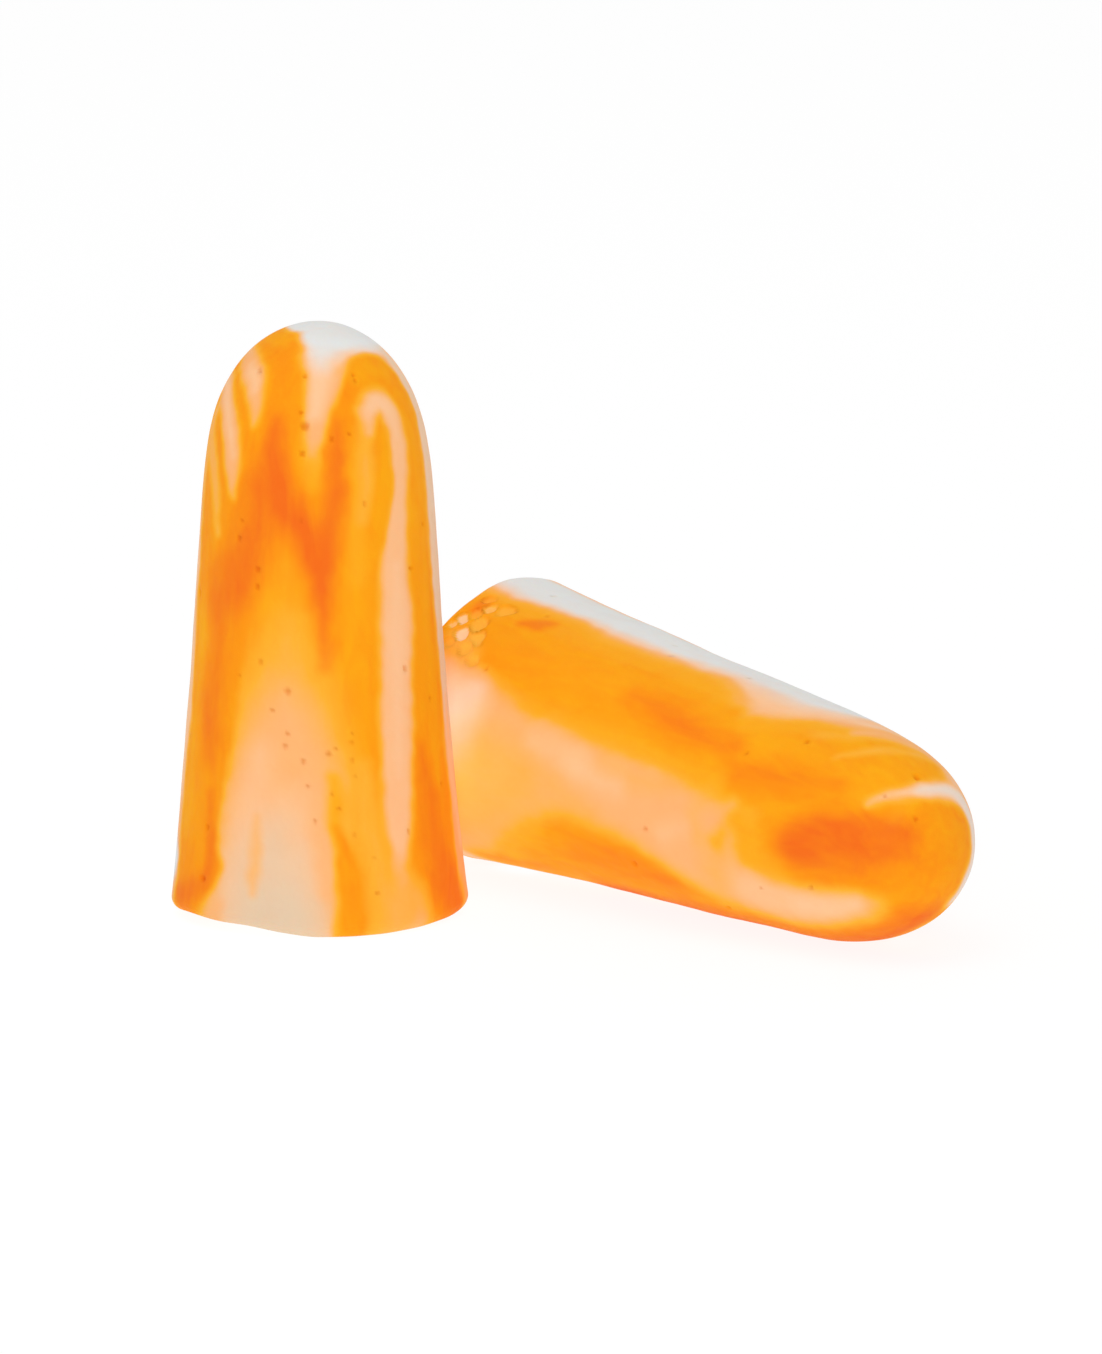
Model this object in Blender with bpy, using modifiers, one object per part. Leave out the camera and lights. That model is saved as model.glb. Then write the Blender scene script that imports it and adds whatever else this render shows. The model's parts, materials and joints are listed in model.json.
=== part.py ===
"""A pair of foam ear plugs. One stands on its flared base; the other lies on its side behind it.

Each plug is one piece of moulded foam, turned about its own axis: a flat base with a rounded rim,
a gentle flare, a body that narrows towards the tip, and a domed tip. Both have one outline; the
lying plug is drawn out a tenth longer. Metres, +Z up. The origin is the centre of the standing
plug's flat base, and both plugs rest on the plane z = 0.
"""

import math

import bmesh
import bpy

# The standing plug. Heights run along its axis, from the flat base to the tip.
LENGTH = 0.0240
RIM_RADIUS = 0.00603
RIM_FILLET = 0.0005
FLARE_REACH = 0.0034
SHOULDER_RADIUS = 0.00464
SHOULDER_HEIGHT = 0.0170
BODY_TAPER = 0.071
DOME_FULLNESS = 2.9

# The lying plug's length and width as shares of the standing one's.
LYING_STRETCH = 1.10
LYING_GIRTH = 0.993

# Where the lying plug's base centre is over the ground, and how far its tip turns forward from +X.
LYING_BASE_X = 0.00733
LYING_BASE_Y = 0.00927
LYING_HEADING = math.radians(47.6)

# How finely the outline is divided.
TURN_STEPS = 60
FILLET_STEPS = 4
BODY_STEPS = 9
DOME_STEPS = 14

# The foam's main colour and its roughness.
FOAM_ORANGE = (0.98, 0.35, 0.02, 1.0)
FOAM_ROUGHNESS = 0.62


def side_radius(height):
    """The standing plug's radius at a height above the rim's fillet."""
    body = SHOULDER_RADIUS + BODY_TAPER * (SHOULDER_HEIGHT - height)
    straight_rim = SHOULDER_RADIUS + BODY_TAPER * (SHOULDER_HEIGHT - RIM_FILLET)
    flare = (RIM_RADIUS - straight_rim) * math.exp(-(height - RIM_FILLET) / FLARE_REACH)
    up_the_dome = max(0.0, (height - SHOULDER_HEIGHT) / (LENGTH - SHOULDER_HEIGHT))
    return (body + flare) * math.sqrt(max(0.0, 1 - up_the_dome**DOME_FULLNESS))


def outline(stretch, girth):
    """Points (radius, height) down a plug's outer side, from its tip to the centre of its base."""
    points = [(0.0, LENGTH)]
    for step in range(1, DOME_STEPS):
        share = math.cos(math.pi / 2 * step / DOME_STEPS)
        height = SHOULDER_HEIGHT + (LENGTH - SHOULDER_HEIGHT) * share
        points.append((side_radius(height), height))
    for step in range(BODY_STEPS):
        share = (1 - step / BODY_STEPS) ** 1.5
        height = RIM_FILLET + (SHOULDER_HEIGHT - RIM_FILLET) * share
        points.append((side_radius(height), height))
    for step in range(FILLET_STEPS + 1):
        turn = math.pi / 2 * step / FILLET_STEPS
        radius = RIM_RADIUS - RIM_FILLET * (1 - math.cos(turn))
        points.append((radius, RIM_FILLET * (1 - math.sin(turn))))
    points.append((0.0, 0.0))
    return [(radius * girth, height * stretch) for radius, height in points]


def resting_tilt(points):
    """How far a plug on its side dips its tip, and how high its axis is at the base.

    It rests on its rim and on the side of its body, so the ground is the flattest line that
    touches both. The rim's point is the one with the greatest radius.
    """
    rim_radius, rim_height = max(points)
    slopes = [
        math.atan2(rim_radius - radius, height - rim_height)
        for radius, height in points
        if height > LENGTH / 3
    ]
    tilt = min(slopes)
    return tilt, rim_radius * math.cos(tilt) + rim_height * math.sin(tilt)


def foam_material(name):
    material = bpy.data.materials.new(name)
    material.use_nodes = True
    shader = material.node_tree.nodes["Principled BSDF"]
    shader.inputs["Base Color"].default_value = FOAM_ORANGE
    shader.inputs["Roughness"].default_value = FOAM_ROUGHNESS
    shader.inputs["Metallic"].default_value = 0.0
    return material


def turned_plug(name, points, collection):
    """A plug with its axis on Z and the centre of its base at its origin."""
    mesh = bpy.data.meshes.new(name)
    shape = bmesh.new()
    corners = [shape.verts.new((radius, 0.0, height)) for radius, height in points]
    for upper, lower in zip(corners, corners[1:]):
        shape.edges.new((upper, lower))
    shape.to_mesh(mesh)
    shape.free()
    plug = bpy.data.objects.new(name, mesh)
    collection.objects.link(plug)
    turn = plug.modifiers.new("turn", "SCREW")
    turn.axis = "Z"
    turn.angle = math.tau
    turn.steps = TURN_STEPS
    turn.render_steps = TURN_STEPS
    turn.use_smooth_shade = True
    turn.use_merge_vertices = True
    turn.merge_threshold = 1e-6
    mesh.materials.append(foam_material(name + "_foam"))
    return plug


def main():
    for old in list(bpy.data.objects):
        bpy.data.objects.remove(old, do_unlink=True)
    pair = bpy.data.collections.new("foam_ear_plugs")
    bpy.context.scene.collection.children.link(pair)

    turned_plug("standing_plug", outline(1.0, 1.0), pair)

    lying_points = outline(LYING_STRETCH, LYING_GIRTH)
    tilt, axis_height = resting_tilt(lying_points)
    lying = turned_plug("lying_plug", lying_points, pair)
    lying.location = (LYING_BASE_X, LYING_BASE_Y, axis_height)
    lying.rotation_euler = (0.0, math.pi / 2 + tilt, -LYING_HEADING)


main()
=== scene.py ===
"""The looks of the foam ear plugs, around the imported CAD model.

Each CAD plug is replaced by a dense foam surface of the same outline. Its pinholes, burst bubbles
and open-celled base are real geometry. Its swirled colours are brush strokes of pigment on the
plug's own chart: an angle around the axis and a distance down the surface from the tip.
"""

import json
import math

import bpy
import numpy as np
from mathutils import Matrix, Vector


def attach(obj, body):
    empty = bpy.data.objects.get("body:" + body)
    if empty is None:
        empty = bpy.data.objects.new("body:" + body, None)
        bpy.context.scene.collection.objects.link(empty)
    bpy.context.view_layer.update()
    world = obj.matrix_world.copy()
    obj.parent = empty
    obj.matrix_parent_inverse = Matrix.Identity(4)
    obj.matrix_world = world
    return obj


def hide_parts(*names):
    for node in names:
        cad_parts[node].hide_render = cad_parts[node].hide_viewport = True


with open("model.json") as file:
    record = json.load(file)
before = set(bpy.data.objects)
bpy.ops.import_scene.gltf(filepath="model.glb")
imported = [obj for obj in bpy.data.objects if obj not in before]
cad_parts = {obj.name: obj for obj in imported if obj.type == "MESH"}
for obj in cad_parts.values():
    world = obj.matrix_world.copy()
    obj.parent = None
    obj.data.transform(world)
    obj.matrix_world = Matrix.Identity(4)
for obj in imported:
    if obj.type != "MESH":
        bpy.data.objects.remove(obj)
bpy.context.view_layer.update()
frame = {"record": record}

MM = 0.001

# ---------------------------------------------------------------------------------------------
# The plug's outline, as in the CAD model, in millimetres along and out from the plug's axis
# ---------------------------------------------------------------------------------------------

LENGTH = 24.0
RIM_RADIUS = 6.03
RIM_FILLET = 0.5
FLARE_REACH = 3.4
SHOULDER_RADIUS = 4.64
SHOULDER_HEIGHT = 17.0
BODY_TAPER = 0.071
DOME_FULLNESS = 2.9
LYING_STRETCH = 1.10  # the lying plug's length and width as shares of the standing one's
LYING_GIRTH = 0.993

# how finely the outline is sampled
DOME_STEPS = 400
SIDE_STEPS = 400
FILLET_STEPS = 60
FLAT_STEPS = 100
NORMAL_STEP = 0.02


def side_radius(height):
    """The standing plug's radius at heights above the rim's fillet."""
    body = SHOULDER_RADIUS + BODY_TAPER * (SHOULDER_HEIGHT - height)
    straight_rim = SHOULDER_RADIUS + BODY_TAPER * (SHOULDER_HEIGHT - RIM_FILLET)
    flare = (RIM_RADIUS - straight_rim) * np.exp(-(height - RIM_FILLET) / FLARE_REACH)
    up_the_dome = np.clip((height - SHOULDER_HEIGHT) / (LENGTH - SHOULDER_HEIGHT), 0, 1)
    return (body + flare) * np.sqrt(1 - up_the_dome**DOME_FULLNESS)


def smooth_step(values):
    """0 up to 0 and 1 from 1, with a soft start and end between."""
    t = np.clip(values, 0, 1)
    return t * t * (3 - 2 * t)


class Plug:
    """One plug's place and outline. Its local axes are: X to angle 0, Y to angle 90, Z to the tip."""

    def __init__(self, node, stretch, girth, base, axis, front):
        self.node = node
        axis = Vector(axis).normalized()
        front = (Vector(front) - axis * axis.dot(Vector(front))).normalized()
        side = axis.cross(front)
        turn = Matrix((front, side, axis)).transposed()
        self.place = Matrix.Translation(Vector(base)) @ turn.to_4x4()
        self.radius, self.height = self.outline(stretch, girth)
        steps = np.hypot(np.diff(self.radius), np.diff(self.height))
        self.down = np.concatenate([[0.0], np.cumsum(steps)])
        self.base_down = self.down[np.argmax(self.height <= 1e-9)]
        self.base_centre_down = self.down[-1]

    def outline(self, stretch, girth):
        """Radius and height from the tip, down the side and round the rim, to the base's centre."""
        up = np.cos(np.linspace(0, np.pi / 2, DOME_STEPS))
        dome = SHOULDER_HEIGHT + (LENGTH - SHOULDER_HEIGHT) * up
        side = np.linspace(SHOULDER_HEIGHT, RIM_FILLET, SIDE_STEPS)
        turn = np.linspace(0, np.pi / 2, FILLET_STEPS)
        flat = np.linspace(RIM_RADIUS - RIM_FILLET, 0, FLAT_STEPS)
        height = np.concatenate(
            [dome, side[1:], RIM_FILLET * (1 - np.sin(turn[1:])), np.zeros(len(flat) - 1)]
        )
        radius = np.concatenate(
            [
                side_radius(dome),
                side_radius(side[1:]),
                RIM_RADIUS - RIM_FILLET * (1 - np.cos(turn[1:])),
                flat[1:],
            ]
        )
        return radius * girth, height * stretch

    def points(self, angle, down):
        """Local positions in millimetres of places on the chart: angle in degrees, down in mm."""
        turned = np.radians(angle)
        radius = np.interp(down, self.down, self.radius)
        height = np.interp(down, self.down, self.height)
        return np.stack([radius * np.cos(turned), radius * np.sin(turned), height], axis=-1)

    def normals(self, angle, down):
        """Outward unit directions, across the outline, at places on the chart."""
        turned = np.radians(angle)
        before = np.clip(down - NORMAL_STEP, 0, None)
        after = np.clip(down + NORMAL_STEP, None, self.base_centre_down)
        radial = np.interp(after, self.down, self.radius) - np.interp(before, self.down, self.radius)
        axial = np.interp(after, self.down, self.height) - np.interp(before, self.down, self.height)
        length = np.hypot(radial, axial)
        outward, along = -axial / length, radial / length
        return np.stack([outward * np.cos(turned), outward * np.sin(turned), along], axis=-1)


# ---------------------------------------------------------------------------------------------
# The dense surface: a quad grid down the side, closed by a round quad grid at the tip and base
# ---------------------------------------------------------------------------------------------

CAP_CELLS = 88  # cells across each round grid; the side has four times as many columns
TIP_CAP_DOWN = 4.2  # how far down from the tip the round grid reaches
ROW_STEP = 0.115
RIM_ROW_STEP = 0.075
RIM_ZONE = 3.0  # the rows are finer within this distance of the base
LAST_ROW_PAST_EDGE = 0.05  # how far onto the base the last row is


def disc_grid(cells):
    """Angle in degrees and radius share of a square grid folded onto a disc."""
    line = np.linspace(-1, 1, cells + 1)
    u, v = np.meshgrid(line, line, indexing="ij")
    wide = np.abs(u) >= np.abs(v)
    reach = np.maximum(np.abs(u), np.abs(v))
    u_safe = np.where(u == 0, 1, u)
    v_safe = np.where(v == 0, 1, v)
    by_u = np.where(u >= 0, 0, 180) + 45 * v / u_safe
    by_v = np.where(v >= 0, 90, 270) - 45 * u / v_safe
    return np.where(wide, by_u, by_v), reach


def surface_chart(plug):
    """(angle, down, faces) of the plug's quad surface."""
    columns = 4 * CAP_CELLS
    rows = [TIP_CAP_DOWN]
    while rows[-1] < plug.base_down:
        step = RIM_ROW_STEP if rows[-1] > plug.base_down - RIM_ZONE else ROW_STEP
        rows.append(rows[-1] + step)
    rows = np.array(rows[:-1] + [plug.base_down + LAST_ROW_PAST_EDGE])
    ring_angle = np.arange(columns) * 360 / columns
    angle = [np.tile(ring_angle, len(rows))]
    down = [np.repeat(rows, columns)]
    grid = np.arange(len(rows) * columns).reshape(len(rows), columns)
    nearer = np.roll(grid, -1, axis=1)
    faces = [np.stack([grid[:-1], grid[1:], nearer[1:], nearer[:-1]], axis=-1).reshape(-1, 4)]

    cap_angle, reach = disc_grid(CAP_CELLS)
    rim_column = np.round(cap_angle / 360 * columns).astype(int) % columns
    edge = reach > 1 - 1e-9
    made = len(rows) * columns
    for ring, start, end, flip in (
        (0, TIP_CAP_DOWN, 0.0, False),
        (len(rows) - 1, rows[-1], plug.base_centre_down, True),
    ):
        index = np.where(edge, grid[ring][rim_column], 0)
        index[~edge] = made + np.arange((~edge).sum())
        made += (~edge).sum()
        angle.append(cap_angle[~edge])
        down.append(end + (start - end) * reach[~edge])
        quads = np.stack([index[:-1, :-1], index[1:, :-1], index[1:, 1:], index[:-1, 1:]], -1)
        faces.append(quads.reshape(-1, 4)[:, ::-1] if flip else quads.reshape(-1, 4))
    return np.concatenate(angle), np.concatenate(down), np.concatenate(faces)


def waves(points, size, seed, count=14):
    """A smooth field from about -1 to 1: a sum of plane waves about size millimetres long."""
    random = np.random.default_rng(seed)
    total = np.zeros(len(points))
    for _ in range(count):
        direction = random.normal(size=3)
        direction *= 2 * np.pi / (size * random.uniform(0.7, 1.5) * np.linalg.norm(direction))
        total += np.sin(points @ direction + random.uniform(0, 2 * np.pi))
    return total / math.sqrt(count)


SHADE_REACH = 1.25  # a pit's shade ends this many radii from its centre


def hollow(points, centre, radius, depth):
    """One round pit: how far it moves each point, below zero inside, and how shaded it makes it."""
    away = np.linalg.norm(points - centre, axis=1) / radius
    return -depth * np.sqrt(np.clip(1 - away**2, 0, None)), smooth_step(SHADE_REACH - away)


CELL_SPREAD = (0.75, 1.35)  # the smallest and largest cells, as shares of the mean one
CELL_WALL = 0.30  # how wide the walls are, as a share of the cell
CELL_CHUNKS = 8  # the base is worked through in this many lots, to save memory


def open_cells(points, inside, size, depth, seed):
    """How far the cut cells of a foam face move each point: flat bowls with thin walls between."""
    random = np.random.default_rng(seed)
    count = 2 * int(math.pi * RIM_RADIUS**2 / size**2)
    spots = random.uniform(-RIM_RADIUS, RIM_RADIUS, size=(count, 2))
    scale = random.uniform(*CELL_SPREAD, size=len(spots))
    total = np.zeros(len(points))
    chosen = np.where(inside > 0)[0]
    for chunk in np.array_split(chosen, CELL_CHUNKS):
        away = np.linalg.norm(points[chunk, None, :2] - spots[None], axis=2) / scale
        two = np.partition(away, 1, axis=1)[:, :2]
        bowl = smooth_step((two[:, 1] - two[:, 0]) / (CELL_WALL * size))
        total[chunk] = -depth * bowl * inside[chunk]
    return total


# ---------------------------------------------------------------------------------------------
# Pigment: each place has an amount of orange dye, how deep that orange is, and the pale foam's
# own colour, which shows where there is little dye
# ---------------------------------------------------------------------------------------------


def linear(red, green, blue):
    """A colour given as 0 to 255 display values, in scene linear, with alpha."""
    values = []
    for value in (red, green, blue):
        share = value / 255
        values.append(share / 12.92 if share <= 0.04045 else ((share + 0.055) / 1.055) ** 2.4)
    return (*values, 1.0)


CHALK = linear(229, 230, 228)
CREAM = linear(225, 200, 170)
SAND = linear(236, 200, 164)
PINK = linear(254, 200, 153)
ROSE = linear(254, 193, 140)
PEACH = linear(253, 183, 120)

# (amount of orange dye, how deep the orange is, the pale foam's colour)
PIGMENTS = {
    "marigold": (1.0, 0.12, PEACH),
    "orange": (1.0, 0.33, PEACH),
    "deep": (1.0, 1.0, PEACH),
    "gold": (0.92, 0.0, PEACH),
    "amber": (0.42, 0.0, PEACH),
    "straw": (0.3, 0.0, CHALK),
    "peach": (0.0, 0.0, PEACH),
    "rose": (0.0, 0.0, ROSE),
    "pink": (0.0, 0.0, PINK),
    "sand": (0.0, 0.0, SAND),
    "cream": (0.0, 0.0, CREAM),
    "chalk": (0.0, 0.0, CHALK),
}
GROUND = "peach"  # what the strokes are painted on
SAMPLES_PER_LEG = 8
POINTS_PER_CHUNK = 8000  # the surface is painted in lots of about this many points
THINNEST = 0.02  # half the width of the thinnest stroke
DYE_FRINGE = 0.18  # the dye is thin this far inside its edge, which leaves a yellow fringe
DRIFT = ((3.2, 0.06), (0.9, 0.035))  # (size, height) of the waves that unsettle the strokes' edges


def stroke(pigment, *points, soft=0.45, strength=1.0):
    """A brush stroke: points are (angle in degrees, mm down from the tip, half width in mm).

    soft is the width of its edge in mm, and strength is how well it covers what is under it.
    """
    return {"pigment": pigment, "points": points, "soft": soft, "strength": strength}


def smooth_path(points):
    """A Catmull-Rom curve through the stroke's points."""
    known = np.array(points, float)
    if len(known) == 1:
        return known
    known = np.vstack([2 * known[0] - known[1], known, 2 * known[-1] - known[-2]])
    t = np.linspace(0, 1, SAMPLES_PER_LEG, endpoint=False)[:, None]
    legs = []
    for a, b, c, d in zip(known, known[1:], known[2:], known[3:]):
        legs.append(
            0.5
            * (2 * b + (c - a) * t + (2 * a - 5 * b + 4 * c - d) * t**2 + (3 * b - a - 3 * c + d) * t**3)
        )
    return np.vstack(legs + [known[-2:-1]])


def brush(plug, state, points, one):
    """Mixes one stroke's pigment into the state of the surface points that it reaches."""
    path = smooth_path(one["points"])
    spots = plug.points(path[:, 0], path[:, 1])
    width = np.maximum(path[:, 2], THINNEST)
    reach = width.max() + one["soft"]
    low, high = spots.min(axis=0) - reach, spots.max(axis=0) + reach
    near = np.where(((points > low) & (points < high)).all(axis=1))[0]
    start, leg = spots[:-1], np.diff(spots, axis=0)
    if len(path) == 1:
        start, leg, width = spots, np.zeros((1, 3)), np.repeat(width, 2)
    leg_squared = np.maximum((leg**2).sum(axis=1), 1e-12)
    for chunk in np.array_split(near, max(1, len(near) // POINTS_PER_CHUNK)):
        from_start = points[chunk, None] - start[None]
        along = np.clip((from_start * leg[None]).sum(axis=2) / leg_squared, 0, 1)
        away = np.linalg.norm(from_start - along[..., None] * leg[None], axis=2)
        away = (away - width[:-1] - along * np.diff(width)).min(axis=1)
        amount, depth, pale = PIGMENTS[one["pigment"]]
        cover = smooth_step(0.5 - away / one["soft"]) * one["strength"]
        fringe = DYE_FRINGE * np.abs(amount - state[chunk, 0])
        away += np.where(depth > state[chunk, 1], fringe, -fringe)
        depth_cover = smooth_step(0.5 - away / one["soft"]) * one["strength"]
        state[chunk, 0] += cover * (amount - state[chunk, 0])
        state[chunk, 1] += depth_cover * (depth - state[chunk, 1])
        state[chunk, 2:] += cover[:, None] * (np.array(pale[:3]) - state[chunk, 2:])


def marble(plug, points, strokes, seed):
    """Dye amount, depth and pale colour of the surface points after all the strokes."""
    drift = np.zeros((len(points), 3))
    for layer, (size, height) in enumerate(DRIFT):
        first = seed + 10 * layer
        drift += height * np.stack([waves(points, size, first + k) for k in range(3)], axis=1)
    amount, depth, pale = PIGMENTS[GROUND]
    state = np.tile([amount, depth, *pale[:3]], (len(points), 1))
    for one in strokes:
        brush(plug, state, points + drift, one)
    return state


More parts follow.
